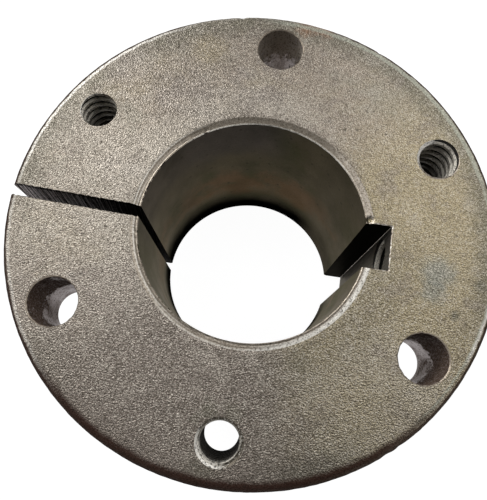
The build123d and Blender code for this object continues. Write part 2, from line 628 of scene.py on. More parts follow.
# Bright lines are painted highlights on the bore's roll, and dark lines painted shade
MOUTH_LINES = (
    # the tint, the radius and the width in millimetres, the middle and the reach in degrees, and
    # the strength
    ("bright_wear_and_highlight", 16.55, 0.9, 32, 17, 0.06),
    ("bright_wear_and_highlight", 15.93, 0.06, 86, 40, 0.8),
    ("bright_wear_and_highlight", 16.45, 0.12, 207, 32, 0.45),
    ("bright_wear_and_highlight", 16.86, 0.1, 152, 24, 0.6),
    ("bright_wear_and_highlight", 16.8, 0.14, 262, 26, 0.5),
    ("dark_specks_and_shade", 16.22, 0.16, 212, 34, 0.65),
    ("dark_specks_and_shade", 16.6, 0.14, 152, 24, 0.6),
    ("dark_specks_and_shade", 16.5, 0.1, 262, 26, 0.5),
    ("dark_specks_and_shade", 16.16, 0.06, 315, 38, 0.6),
    ("dark_specks_and_shade", 16.97, 0.04, 32, 17, 0.5),
)


def line_coats(finish, colours):
    """The painted highlights and shade lines round the bore's mouth as coats of colour."""
    for tint, radius, width, middle, reach, strength in MOUTH_LINES:
        line = finish.band(finish.radius, radius, width, 0.1) * finish.sector(middle, reach, 12)
        yield getattr(colours, tint), line * strength


def rolled_mouth(colours):
    """The bore's mouth: painted highlights and shade along the roll, and fine marks across it."""
    finish = Finish("rolled_mouth", Metallic=0.95)
    turn = finish.math("ARCTAN2", finish.y, finish.x)
    around = finish.combine(turn * 60, finish.z * 0.8, 0)
    ticks = finish.noise(1.0, around, detail=2, rough=0.6)
    grain = finish.noise(4.6, detail=3, rough=0.65)
    edge = finish.radius + (grain - 0.5) * 0.5
    # Painted highlight on the lower right of the roll
    rubbed = finish.sector(324, 34, 16) * finish.ramp(edge, 16.15, 16.5)
    # Painted shade on the upper part of the roll
    dark = finish.sector(92, 32, 18) * finish.ramp(finish.radius, 15.95, 16.15)
    shade = finish.layers(
        colours.cast,
        (colours.pale_skin_and_painted_light, finish.ramp(grain, 0.4, 0.65) * 0.8),
        (colours.dark_specks_and_shade, finish.ramp(ticks, 0.45, 0.3) * 0.45),
        (colours.bright_wear_and_highlight, rubbed * 0.9),
        *line_coats(finish, colours),
        (colours.dark_specks_and_shade, finish.ramp(grain, 0.47, 0.37) * 0.7),
        (colours.dark_specks_and_shade, dark * 0.65),
    )
    return finish.done(
        shade, finish.roughness(grain, 0.34, 0.44), ticks * 0.5 + grain * 0.6, 0.035
    )


# A weak brown sheen, as on oiled scale
WARM_SHEEN = {"Specular IOR Level": 0.1, "Specular Tint": (1, 0.86, 0.62)}


def turned_bore(colours):
    """The bore's dark wall: tinted in clouds, with a rusty ring, painted shade beside the cuts and
    a black foot of painted shade.
    """
    finish = Finish("turned_bore", Metallic=0.5, **WARM_SHEEN)
    clouds = finish.noise(0.12, finish.stretch(1, 1, 0.8), detail=5, rough=0.65)
    drift = finish.noise(0.09, finish.stretch(1, 1, 1.4), detail=4, rough=0.6)
    grain = finish.noise(3.2, detail=3, rough=0.65)
    rings = finish.noise(1.0, finish.stretch(0.02, 0.02, 5), detail=3, rough=0.6)
    height = finish.z + (clouds - 0.5) * 14
    violet = finish.ramp(height, 19, 27) * finish.sector(135, 40, 25)
    rust = finish.band(height, 12.5, 3, 4) * finish.ramp(drift, 0.38, 0.56)
    # Painted shade on the walls beside the saw cut and the keyway
    ends = finish.most(finish.sector(180, 36, 15), finish.sector(25, 20, 15))
    shade = finish.layers(
        colours.bore,
        (colours.bore_green, finish.ramp(clouds, 0.42, 0.62) * 0.8),
        (colours.bore_violet, violet * 0.8),
        (colours.bore_rust, rust * 0.7),
        (colours.sawn, finish.ramp(grain, 0.58, 0.78) * 0.35),
        (colours.black, finish.ramp(grain, 0.45, 0.25) * 0.6),
        (colours.black, finish.ramp(drift, 0.5, 0.38) * 0.3),
        (colours.black, ends * 0.4),
        (colours.black, finish.ramp(finish.cells(0.45), 0.16, 0.06) * 0.7),
    )
    # The black foot is painted shade at the bore's lower end
    foot = finish.ramp(finish.z + (drift - 0.5) * 4, 10.2, 3.2)
    finish.cover(colours.black, foot * (1 - finish.sector(15, 20, 25) * 0.5))
    return finish.done(
        shade, finish.roughness(clouds, 0.5, 0.62), rings * 0.6 + grain * 0.5, 0.015
    )


def turned_taper(colours):
    """The barrel's turned taper and end, with fine rings."""
    finish = Finish("turned_taper", Metallic=0.8)
    rings = finish.noise(1.0, finish.stretch(0.03, 0.03, 6), detail=3, rough=0.65)
    clouds = finish.noise(0.15, detail=4, rough=0.6)
    grain = finish.noise(3, detail=2)
    shade = finish.layers(
        colours.taper,
        (colours.cast, finish.ramp(clouds, 0.42, 0.66)),
        (colours.dark_specks_and_shade, finish.ramp(rings, 0.42, 0.25) * 0.35),
    )
    return finish.done(
        shade, finish.roughness(clouds, 0.34, 0.5), rings * 0.7 + grain * 0.3, 0.018
    )


def drilled_wall(colours):
    """A plain hole's wall: brown-black scale, and bare metal in ragged patches deeper down."""
    finish = Finish("drilled_wall", Metallic=0.6)
    patches = finish.noise(0.22, detail=5, rough=0.7, twist=0.4)
    grain = finish.noise(3.6, detail=3, rough=0.7)
    deep = finish.ramp(finish.z, TOP - 3, TOP - 8.5)
    # Painted light on the wall of the upper plain hole
    upper_hole_painted_light = finish.sector(90, 20, 10)
    near = deep * 0.26 + upper_hole_painted_light * 0.05 + finish.sector(210, 20, 10) * 0.07
    bare = finish.ramp(patches + near + grain * 0.4, 0.84, 0.95)
    specks = finish.ramp(grain, 0.53, 0.66) * 0.5
    bare = finish.most(bare, specks) * finish.ramp(grain, 0.34, 0.46)
    scale = finish.layers(
        colours.drilled,
        (colours.pale_skin_and_painted_light, upper_hole_painted_light * 0.75),
        (colours.drilled_light, specks * 0.7),
        (colours.black, finish.ramp(grain, 0.5, 0.38) * 0.6),
    )
    finish.cover(scale, 0.96 - bare * 0.85)
    metal = finish.layers(
        colours.drilled_light, (colours.drilled, finish.ramp(patches, 0.6, 0.4) * 0.5)
    )
    roughness = finish.ramp(patches, 0.45, 0.65, 0.55, 0.4)
    return finish.done(metal, roughness, patches * 0.4 + grain * 0.8, 0.05)


def tapped_wall(colours, name="tapped_wall", sideways=False):
    """Cut threads, bright near the mouth and covered with black painted shade further down."""
    finish = Finish(name, Metallic=0.3)
    clouds = finish.noise(0.5, detail=3, rough=0.6)
    grain = finish.noise(4.0, detail=2)
    shade = finish.layers(
        colours.thread,
        (colours.dark_specks_and_shade, finish.ramp(clouds, 0.5, 0.68) * 0.6),
        (colours.black, finish.ramp(grain, 0.48, 0.36) * 0.7),
    )
    if sideways:
        deep = finish.ramp(finish.x, 20.2, 23)
    else:
        # In the lower tapped hole the painted shade comes up nearer the mouth
        shallow_painted_shade = finish.ramp(finish.z + (grain - 0.5) * 2.5, TOP - 0.9, TOP - 3.2)
        deep = finish.most(
            finish.ramp(finish.z, TOP - 1.5, TOP - 8) * 0.9,
            shallow_painted_shade * finish.sector(270, 15, 5) * 0.92,
        )
    finish.cover(colours.black, deep)
    return finish.done(shade, finish.roughness(grain, 0.4, 0.52), grain, 0.03)


def tapped_mouth(colours, name, middle, highlight_towards, tint):
    """A tapped hole's speckled countersink, with a painted highlight on one side of its middle."""
    finish = Finish(name, Metallic=0.8)
    grain = finish.noise(3.4, detail=3, rough=0.7)
    across = (finish.x - middle.x / MM) * math.cos(math.radians(highlight_towards))
    along = (finish.y - middle.y / MM) * math.sin(math.radians(highlight_towards))
    # Painted highlight on one side of the countersink
    worn = finish.ramp(across + along + (grain - 0.5) * 3, 0.4, 2.4)
    shade = finish.layers(
        tint,
        (colours.bright_wear_and_highlight, worn),
        (colours.bright_wear_and_highlight, finish.ramp(grain, 0.56, 0.64) * 0.7),
        (colours.black, finish.ramp(grain, 0.47, 0.37) * 0.8),
    )
    return finish.done(shade, finish.roughness(grain, 0.36, 0.5), grain, 0.06)


def thread_groove(colours):
    """Nearly black painted shade in the bottom of the threads, flecked with dust."""
    finish = Finish("thread_groove", **{"Specular IOR Level": 0.2})
    grain = finish.noise(3.0, detail=2)
    dust = finish.ramp(grain, 0.5, 0.75) * 0.5
    shade = finish.layers(colours.black, (colours.dark_specks_and_shade, dust))
    return finish.done(shade, finish.roughness(grain, 0.5, 0.7))


def worn_edge(colours, name, wear_and_glint):
    """The speckled line where an edge is broken, brighter as wear_and_glint nears 1; the keyway's
    brighter edges are a painted glint.
    """
    finish = Finish(name, Metallic=0.85)
    grain = finish.noise(3.0, detail=3, rough=0.6)
    shade = finish.layers(
        colours.cast,
        (colours.bright_wear_and_highlight, finish.ramp(grain, 0.64 - wear_and_glint / 4, 0.74 - wear_and_glint / 4)),
        (colours.dark_specks_and_shade, finish.ramp(grain, 0.44, 0.34) * 0.8),
    )
    return finish.done(shade, finish.roughness(grain, 0.36, 0.5), grain, 0.02)


def sawn_wall(colours):
    """The saw cut's walls, with the blade's slanting marks, blackened towards the bore."""
    finish = Finish("sawn_wall", Metallic=0.4, **{"Specular IOR Level": 0.3})
    slant = finish.x - finish.z * 0.12
    marks = finish.noise(1.0, finish.combine(slant * 4.4, 0, 0), detail=1)
    grain = finish.noise(3.0, detail=2, rough=0.6)
    streaks = marks + (grain - 0.5) * 0.3
    shade = finish.layers(
        colours.sawn, (colours.sawn_light, finish.ramp(streaks, 0.45, 0.6))
    )
    # Painted shadow under the upper edge: the streaks darken near the top
    worn = finish.ramp(finish.z, TOP - 1, TOP)
    dark = finish.ramp(streaks + worn * -0.2, 0.52, 0.4) * 0.85
    fade = finish.ramp(finish.radius, 31, 17) * 0.9
    finish.cover(colours.black, 1 - (1 - dark) * (1 - fade))
    return finish.done(shade, finish.roughness(marks, 0.55, 0.45), streaks, 0.08)


def broached_wall(colours):
    """The keyway's dark walls, scored along the bore: the side walls are covered nearly black."""
    finish = Finish("broached_wall", Metallic=0.3, **WARM_SHEEN)
    scores = finish.noise(1.0, finish.stretch(5, 5, 0.08), detail=2, rough=0.6)
    clouds = finish.noise(0.3, detail=3, rough=0.6)
    grain = finish.noise(3.6, detail=2, rough=0.6)
    shade = finish.layers(
        colours.broached,
        (colours.bore, finish.ramp(clouds, 0.5, 0.7) * 0.5),
        (colours.sawn, finish.ramp(grain, 0.55, 0.7) * 0.6),
    )
    side_walls = finish.ramp(finish.math("ABSOLUTE", finish.y), 3.0, 3.15)
    scored = finish.ramp(scores, 0.45, 0.3)
    finish.cover(colours.black, finish.most(side_walls * 0.9, scored * 0.4))
    return finish.done(
        shade, finish.roughness(scores, 0.42, 0.54), scores + grain * 0.5, 0.02
    )


def blackened_screw(colours):
    """Blackened steel, grey where it is rubbed."""
    finish = Finish("blackened_screw", Metallic=0.7)
    clouds = finish.noise(0.8, detail=3, rough=0.6)
    grain = finish.noise(4.0, detail=2)
    rubbed = finish.ramp(clouds, 0.55, 0.7) * 0.4
    shade = finish.layers(colours.screw, (colours.sawn, rubbed))
    return finish.done(shade, finish.roughness(clouds, 0.32, 0.45), grain, 0.008)


# Mesh tools


# Points nearer to each other than this are made one
SAME_POINT = MM / 1000
# How far a cutter reaches beyond the surface that it cuts
OVER = 0.5 * MM
# Steps in a whole turn
BODY_STEPS = 540
PLAIN_HOLE_STEPS = 120
ROUND_STEPS = 96
THREAD_STEPS = 48
# Edges are sharp past this angle, in degrees
SHARP_ANGLE = 32


def whole(bm):
    """All the geometry of a mesh, as the operators take it."""
    return bm.verts[:] + bm.edges[:] + bm.faces[:]


def draw_section(bm, corners):
    """A line of edges through (radius, height) corners, in the plane of X and Z."""
    points = [bm.verts.new((radius, 0, height)) for radius, height in corners]
    for before, after in zip(points, points[1:]):
        bm.edges.new((before, after))


def spin_section(bm, steps):
    """Spins a section a whole turn round Z into a closed surface that faces outwards."""
    bmesh.ops.spin(
        bm,
        geom=bm.verts[:] + bm.edges[:],
        cent=(0, 0, 0),
        axis=(0, 0, 1),
        dvec=(0, 0, 0),
        angle=WHOLE_TURN,
        steps=steps,
        use_merge=True,
    )
    bmesh.ops.remove_doubles(bm, verts=bm.verts[:], dist=SAME_POINT)
    bmesh.ops.recalc_face_normals(bm, faces=bm.faces[:])


def plug(corners, steps=ROUND_STEPS):
    """A solid of revolution whose first and last corners lie on the axis."""
    bm = bmesh.new()
    draw_section(bm, corners)
    spin_section(bm, steps)
    return bm


def lathe(corners, rounded, rings):
    """Spins a closed half section round Z.

    corners are (radius, height) pairs, rounded gives (corner, reach, segments) for those that
    are rounded or chamfered, and rings are (point, normal) planes that add rings of edges.
    """
    bm = bmesh.new()
    points = [bm.verts.new((radius, 0, height)) for radius, height in corners]
    bm.faces.new(points)
    for corner, reach, segments in rounded:
        bmesh.ops.bevel(
            bm,
            geom=[points[corner]],
            offset=reach,
            offset_type="ABSOLUTE",
            segments=segments,
            profile=0.5,
            affect="VERTICES",
            material=-1,
        )
    bmesh.ops.delete(bm, geom=bm.faces[:], context="FACES_ONLY")
    for point, normal in rings:
        bmesh.ops.bisect_plane(
            bm, geom=bm.verts[:] + bm.edges[:], plane_co=point, plane_no=normal
        )
    spin_section(bm, BODY_STEPS)
    return bm


def close_ends(bm):
    """Fills a mesh's open ends and turns its faces outwards."""
    bmesh.ops.holes_fill(bm, edges=[e for e in bm.edges if e.is_boundary], sides=0)
    bmesh.ops.recalc_face_normals(bm, faces=bm.faces[:])


def thread(core, outside, pitch, low, high):
    """A threaded rod round Z from low to high, whose crest at angle 0 passes through height 0."""
    flank = (outside - core) * math.tan(math.radians(30))
    crest = pitch / 8
    root = pitch - 2 * flank - crest
    start = math.floor(low / pitch - 1.5) * pitch - crest / 2
    turns = math.ceil((high - start) / pitch) + 1
    half = (core + outside) / 2
    profile = [
        (outside, 0),
        (outside, crest),
        (half, crest + flank / 2),
        (core, crest + flank),
        (core, crest + flank + root),
        (half, crest + flank * 1.5 + root),
        (outside, pitch),
    ]
    bm = bmesh.new()
    draw_section(bm, [(radius, start + height) for radius, height in profile])
    bmesh.ops.spin(
        bm,
        geom=bm.verts[:] + bm.edges[:],
        cent=(0, 0, 0),
        axis=(0, 0, 1),
        dvec=(0, 0, pitch / THREAD_STEPS),
        angle=WHOLE_TURN * turns,
        steps=THREAD_STEPS * turns,
        use_merge=False,
    )
    bmesh.ops.remove_doubles(bm, verts=bm.verts[:], dist=SAME_POINT)
    for height, outwards in ((low, -1), (high, 1)):
        bmesh.ops.bisect_plane(
            bm,
            geom=whole(bm),
            dist=SAME_POINT / 10,
            plane_co=(0, 0, height),
            plane_no=(0, 0, outwards),
            clear_outer=True,
        )
    close_ends(bm)
    return bm


def flared_prism(corners, sections):
    """A prism along Z on a convex outline.

    sections are (height, growth) pairs: growth moves each corner away from the middle, in X and
    in Y.
    """
    bm = bmesh.new()
    middle = [sum(corner[axis] for corner in corners) / len(corners) for axis in (0, 1)]

    def grow(point, growth):
        for axis in (0, 1):
            point.co[axis] += math.copysign(1, point.co[axis] - middle[axis]) * growth

    height, growth = sections[0]
    points = [bm.verts.new((x, y, height)) for x, y in corners]
    for point in points:
        grow(point, growth)
    outline = [bm.edges.new(pair) for pair in zip(points, points[1:] + points[:1])]
    for (low, before), (high, after) in zip(sections, sections[1:]):
        grown = bmesh.ops.extrude_edge_only(bm, edges=outline)["geom"]
        outline = [item for item in grown if isinstance(item, bmesh.types.BMEdge)]
        for corner in (item for item in grown if isinstance(item, bmesh.types.BMVert)):
            grow(corner, after - before)
            corner.co.z += high - low
    close_ends(bm)
    return bm


def fray(bm, axis, pieces, height, depth):
    """Splits the long edges along an axis and roughens, sideways, what lies above a height."""
    long = [e for e in bm.edges if abs((e.verts[1].co - e.verts[0].co)[axis]) > 3 * MM]
    bmesh.ops.subdivide_edges(bm, edges=long, cuts=pieces - 1, use_grid_fill=True)
    for vert in bm.verts:
        if vert.co.z > height:
            place = Vector((vert.co[axis] / MM * 2.6, vert.co[1 - axis] // MM, 0))
            vert.co[1 - axis] += noise.noise(place) * depth


def mark_faces(bm, wanted):
    """Gives the faces that are wanted the second material of the object."""
    for face in bm.faces:
        if wanted(face):
            face.material_index = 1


def make_object(name, bm, materials):
    """A new object at the origin with this mesh and these materials."""
    mesh = bpy.data.meshes.new(name)
    bm.to_mesh(mesh)
    bm.free()
    for material in materials:
        mesh.materials.append(material)
    obj = bpy.data.objects.new(name, mesh)
    bpy.context.scene.collection.objects.link(obj)
    return obj


def carve(obj, cuts):
    """Cuts or intersects an object with others, keeps their materials, and removes them.

    cuts are (object, operation) pairs.
    """
    for cutter, operation in cuts:
        modifier = obj.modifiers.new(cutter.name, "BOOLEAN")
        modifier.object = cutter
        modifier.operation = operation
        modifier.solver = "MANIFOLD"
        modifier.material_mode = "TRANSFER"
    graph = bpy.context.evaluated_depsgraph_get()
    mesh = bpy.data.meshes.new_from_object(
        obj.evaluated_get(graph), preserve_all_data_layers=True, depsgraph=graph
    )
    mesh.name = obj.name
    before = obj.data
    obj.modifiers.clear()
    obj.data = mesh
    bpy.data.meshes.remove(before)
    for cutter, operation in cuts:
        bpy.data.meshes.remove(cutter.data)


def smooth(obj):
    """Smooth shading with sharp edges past an angle, and normals weighted by face area."""
    mesh = obj.data
    mesh.shade_smooth()
    mesh.set_sharp_from_angle(angle=math.radians(SHARP_ANGLE))
    weighted = obj.modifiers.new("even_normals", "WEIGHTED_NORMAL")
    weighted.mode = "FACE_AREA"
    weighted.keep_sharp = True


# The body


# The bore's mouth rolls down to a valley, inside which a thin burr stands up
VALLEY_WIDTH = 0.26 * MM
VALLEY_DROP = 0.3 * MM
BURR_WIDTH = 0.11 * MM
BURR_RISE = 0.07 * MM
# The direction in which the burr is worn most, in degrees, and how much of its rise is gone
BURR_WORN_TOWARDS = 185
BURR_WEAR = 0.55

# Heights of the waves of the cast skin and of the rim's edge, in millimetres
SKIN_WAVE = 0.02
RIM_WAVE = 0.035
RIM_REACH = 1.2 * MM
MOUTH_WAVE = 0.05 * MM

# Where rings of edges are added for the waves, in millimetres
RING_RADII = (17.3, 19.5, 22, 24.5, 27, 29.5, 31.5, 32.6, 33.05)
RING_HEIGHTS = (1.2, 5, 10, 15, 20, 22.2, 24, 26, 28, 30.3)

NICKS = (
    # in the bore's mouth and in the rim: the direction in degrees, and the distance from the
    # axis, the half width and the depth in millimetres
    (123.5, 15.95, 0.35, 0.12),
    (13, 16.4, 0.7, 0.4),
    (49.5, 16.5, 0.3, 0.06),
    (191, 16.2, 0.3, 0.08),
    (308, 33.9, 0.9, 0.15),
    (311.5, 34.1, 0.6, 0.12),
    (318, 33.6, 0.7, 0.14),
    (101, 34.0, 0.6, 0.15),
    (64, 33.9, 0.5, 0.15),
)

# The keyway's two inner corners are not quite sharp, and its upper edges are frayed this deep
KEYWAY_CORNER = 0.03 * MM
KEYWAY_FRAY = 0.1 * MM
# The width of the saw cut's broken upper edges, and how deep they are frayed
SAW_LIP = 0.08 * MM
SAW_FRAY = 0.16 * MM

# The edges of the plain holes: the lower one, and the upper one's depth and width
PLAIN_BACK_EDGE = 0.2 * MM
PLAIN_EDGE_DEPTH = 0.15 * MM
PLAIN_EDGE_WIDTH = 0.12 * MM
# How ragged the upper edge is, as a share of the radius
PLAIN_EDGE_RAGGED = 0.02

MOUTHS = (
    # how far each tapped hole's countersink is off its middle, and how far below the face its
    # threads begin, in millimetres, the direction of its painted highlight, in degrees, and its
    # tint elsewhere
    (0.02, 0, 150, "cast"),
    (0, 0.2, 160, "cast"),
    (0.02, 0.5, 220, "dark_specks_and_shade"),
)
# Where threads begin below the face, a countersink this wide ends in a neck, a little wider than
# the holes and down past the first thread
COUNTERSINK_WIDTH = 0.3 * MM
NECK_GAP = 0.02 * MM
NECK_REACH = 0.1


def body_outline(sizes):
    """Corners of the body's half section from the bore's foot outwards, and its roundings."""
    top = sizes.overall_length
    back = top - sizes.flange_thickness
    bore = sizes.bore_radius
    valley = top - VALLEY_DROP
    corners = [
        (bore, 0),
        (sizes.barrel_small_radius, 0),
        (sizes.barrel_large_radius, back),
        (sizes.flange_radius, back),
        (sizes.flange_radius, top),
        (bore + sizes.mouth_width, top),
        (bore + VALLEY_WIDTH, valley),
        (bore + BURR_WIDTH, valley + BURR_RISE),
        (bore, top - sizes.mouth_drop),
    ]
    rounded = [
        (0, sizes.bore_chamfer, 1),
        (1, sizes.barrel_chamfer, 1),
        (2, sizes.barrel_root, 6),
        (3, sizes.flange_rounding, 8),
        (4, sizes.flange_rounding, 8),
        (5, 0.3 * MM, 5),
        (6, 0.06 * MM, 2),
        (7, 0.04 * MM, 2),
    ]
    return corners, rounded


def body_rings():
    """Planes that add rings of edges to the body's half section."""
    planes = [((radius * MM, 0, 0), (1, 0, 0)) for radius in RING_RADII]
    return planes + [((0, 0, height * MM), (0, 0, 1)) for height in RING_HEIGHTS]


def roughen(bm, sizes):
    """Gives the cast surfaces a faint waviness, wears the burr and cuts the nicks."""
    top = sizes.overall_length
    back = top - sizes.flange_thickness
    mouth = sizes.bore_radius + sizes.mouth_width * 0.6
    burr = sizes.bore_radius + BURR_WIDTH
    moves = {}
    for vert in bm.verts:
        radius = math.hypot(vert.co.x, vert.co.y)
        in_mouth = vert.co.z > top - sizes.mouth_drop * 1.1
        if vert.co.z < back - 0.1 * MM or radius < mouth and not in_mouth:
            continue
        place = vert.co / MM
        if radius < mouth:
            drop = 0
            if radius < burr:
                turn = math.atan2(place.y, place.x) - math.radians(BURR_WORN_TOWARDS)
                drop = BURR_RISE * BURR_WEAR * max(0, math.cos(turn)) ** 0.5
            moves[vert] = Vector((0, 0, MOUTH_WAVE * noise.noise(place * 1.7) - drop))
        else:
            edge = max(0, 1 - abs(radius - sizes.flange_radius) / RIM_REACH)
            height = SKIN_WAVE * noise.noise(place * 0.16)
            height += RIM_WAVE * edge * noise.noise(place * 1.3)
            moves[vert] = vert.normal * height * MM
        for direction, distance, reach, depth in NICKS:
            middle = Vector((distance, 0)) * MM
            middle.rotate(Matrix.Rotation(math.radians(direction), 2))
            near = 1 - (vert.co.xy - middle).length / (reach * MM)
            if near > 0:
                moves[vert] -= vert.normal * depth * MM * near
    for vert, move in moves.items():
        vert.co += move


def choose_finishes(bm, sizes):
    """Gives each face the material of its surface: skin, mouth, bore or taper."""
    top = sizes.overall_length
    back = top - sizes.flange_thickness
    mouth = sizes.bore_radius + sizes.mouth_width
    for face in bm.faces:
        middle = face.calc_center_median()
        radius = math.hypot(middle.x, middle.y)
        if radius < mouth and middle.z > top - sizes.mouth_drop:
            face.material_index = 1
        elif radius < sizes.bore_radius + sizes.bore_chamfer:
            face.material_index = 2
        elif middle.z < back + SKIN_WAVE * MM:
            face.material_index = 3


def keyway_cutter(sizes, colours):
    """The keyway, its ends flared and its upper edges frayed."""
    top = sizes.overall_length
    broken = sizes.edge_break
    floor = sizes.bore_radius + sizes.key_depth
    half = sizes.key_width / 2
    void = sizes.bore_radius / 2
    corner = KEYWAY_CORNER
    outline = [
        (void, -half),
        (floor - corner, -half),
        (floor, -half + corner),
        (floor, half - corner),
        (floor - corner, half),
        (void, half),
    ]
    flare = broken + OVER
    sections = [(-OVER, flare), (broken, 0), (top - broken, 0), (top + OVER, flare)]
    bm = flared_prism(outline, sections)

    def has_painted_glint(face):
        """Whether a face belongs to the upper edges or slants across a corner."""
        slant = min(abs(face.normal.x), abs(face.normal.y))
        return face.calc_center_median().z > top - broken or slant > 0.4

    # The upper edges and the slanted corner faces take the bright edge finish, a painted glint
    mark_faces(bm, has_painted_glint)
    fray(bm, axis=1, pieces=30, height=top - 1.1 * broken, depth=KEYWAY_FRAY)
    finishes = [broached_wall(colours), worn_edge(colours, "keyway_edge", 0.6)]
    return make_object("keyway_cutter", bm, finishes)


def saw_cutter(sizes, colours):
    """The saw cut, turned and off the axis, with its edges broken and frayed."""
    top = sizes.overall_length
    broken = sizes.edge_break
    reach = sizes.flange_radius * 1.1
    half = sizes.saw_width / 2
    outline = [(-reach, -half), (0, -half), (0, half), (-reach, half)]
    sections = [
        (-OVER, broken + OVER),
        (broken, 0),
        (top - SAW_LIP, 0),
        (top + OVER, SAW_LIP + OVER),
    ]
    bm = flared_prism(outline, sections)
    fray(bm, axis=0, pieces=160, height=top - 1.1 * SAW_LIP, depth=SAW_FRAY)
    turn = Matrix.Rotation(-sizes.saw_turn, 4, "Z")
    bm.transform(Matrix.Translation((0, -sizes.saw_offset, 0)) @ turn)
    return make_object("saw_cutter", bm, [sawn_wall(colours)])


def on_circle(holes, turn):
    """The place on the hole circle at this angle from the keyway."""
    return Vector((math.cos(turn), math.sin(turn), 0)) * holes.circle_radius


def plain_cutter(sizes, holes, number, finishes):
    """A plain hole with its edges broken, the upper one ragged."""
    top = sizes.overall_length
    back = top - sizes.flange_thickness
    radius = holes.plain_radius
    wide = radius + PLAIN_BACK_EDGE + OVER
    bm = plug(
        [
            (0, back - OVER),
            (wide, back - OVER),
            (radius, back + PLAIN_BACK_EDGE),
            (radius, top - PLAIN_EDGE_DEPTH),
            (radius + PLAIN_EDGE_WIDTH + OVER, top + OVER),
            (0, top + OVER),
        ],
        PLAIN_HOLE_STEPS,
    )
    mark_faces(bm, lambda face: face.calc_center_median().z > top - PLAIN_EDGE_DEPTH)
    place = on_circle(holes, holes.plain_angle + number * (WHOLE_TURN / holes.count))
    for vert in bm.verts:
        if vert.co.z > top - 0.2 * MM and vert.co.xy.length > radius / 2:
            ragged = noise.noise(vert.co.xy.normalized().to_3d() * 9 + place * 1000)
            vert.co.xy *= 1 + PLAIN_EDGE_RAGGED * ragged
    bm.transform(Matrix.Translation(place))
    return make_object(f"plain_hole_cutter_{number}", bm, finishes)


def tap(holes, low, high):
    """A hole with its thread, whose outer half is of the second material."""
    bm = thread(holes.thread_core, holes.thread_outside, holes.thread_pitch, low, high)
    half = (holes.thread_core + holes.thread_outside) / 2 - 0.01 * MM
    mark_faces(bm, lambda face: all(vert.co.xy.length > half for vert in face.verts))
    return bm


def tapped_cutters(sizes, holes, colours, number, finishes):
    """A tapped hole's thread and its countersink."""
    top = sizes.overall_length
    back = top - sizes.flange_thickness
    aside, begins, highlight_towards, tint = MOUTHS[number]
    turn = holes.tapped_angle + number * (WHOLE_TURN / holes.count)
    place = on_circle(holes, turn)
    bm = tap(holes, back - OVER, top - begins * MM if begins else top + OVER)
    # The factor starts each hole's thread in a direction of its own
    bm.transform(Matrix.Translation(place) @ Matrix.Rotation(turn * 2.3, 4, "Z"))
    threads = make_object(f"tap_{number}", bm, finishes)

    mouth = holes.tapped_mouths[number]
    slope = math.tan(holes.countersink_slope)
    corners = [(0, top - mouth * slope)]
    if begins:
        neck = max(holes.thread_core + NECK_GAP, mouth - COUNTERSINK_WIDTH)
        low = top - (begins + NECK_REACH) * MM
        corners = [(0, low), (neck, low), (neck, top - (mouth - neck) * slope)]
    bm = plug(corners + [(mouth + OVER, top + OVER * slope), (0, top + OVER * slope)])
    bm.transform(Matrix.Translation(place + Vector((aside, 0, 0)) * MM))
    name = f"tapped_mouth_{number}"
    finish = tapped_mouth(colours, name, place, highlight_towards, getattr(colours, tint))
    return [threads, make_object(f"countersink_{number}", bm, [finish])]


def side_cutters(sizes, holes, finishes):
    """The set screw's threaded hole from the rim to the keyway, and its chamfer."""
    rim = sizes.flange_radius
    mouth = holes.thread_core + holes.side_hole_chamfer
    threads = tap(holes, sizes.bore_radius, rim + OVER)
    chamfer = plug([(0, rim - mouth), (mouth + OVER, rim + OVER), (0, rim + OVER)])
    for bm in (threads, chamfer):
        bm.transform(SIDEWAYS)
    return [
        make_object("side_tap", threads, finishes),
        make_object("side_countersink", chamfer, finishes),
    ]


def body_cutters(sizes, holes, colours):
    """What the keyway, the saw cut and the holes are cut with."""
    cutters = [keyway_cutter(sizes, colours), saw_cutter(sizes, colours)]
    drilled = [drilled_wall(colours), worn_edge(colours, "hole_edge", 0)]
    groove = thread_groove(colours)
    tapped = [tapped_wall(colours), groove]
    for number in range(holes.count):
        cutters.append(plain_cutter(sizes, holes, number, drilled))
        cutters += tapped_cutters(sizes, holes, colours, number, tapped)
    sideways = [tapped_wall(colours, "side_threads", sideways=True), groove]
    return cutters + side_cutters(sizes, holes, sideways)


class BUSHING_OT_body(bpy.types.Operator):
    """Makes the split body with its bore, keyway, saw cut and holes"""

    bl_idname = "bushing.body"
    bl_label = "Make the Body"

    def execute(self, context):
        settings = context.scene.bushing
        sizes, colours = settings.body, settings.colours
        bm = lathe(*body_outline(sizes), body_rings())
        roughen(bm, sizes)
        choose_finishes(bm, sizes)
        surfaces = (cast_skin, rolled_mouth, turned_bore, turned_taper)
        body = make_object("split_body", bm, [surface(colours) for surface in surfaces])
        cutters = body_cutters(sizes, settings.holes, colours)
        carve(body, [(cutter, "DIFFERENCE") for cutter in cutters])
        smooth(body)
        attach(body, "root")
        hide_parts("bushing")
        return {"FINISHED"}


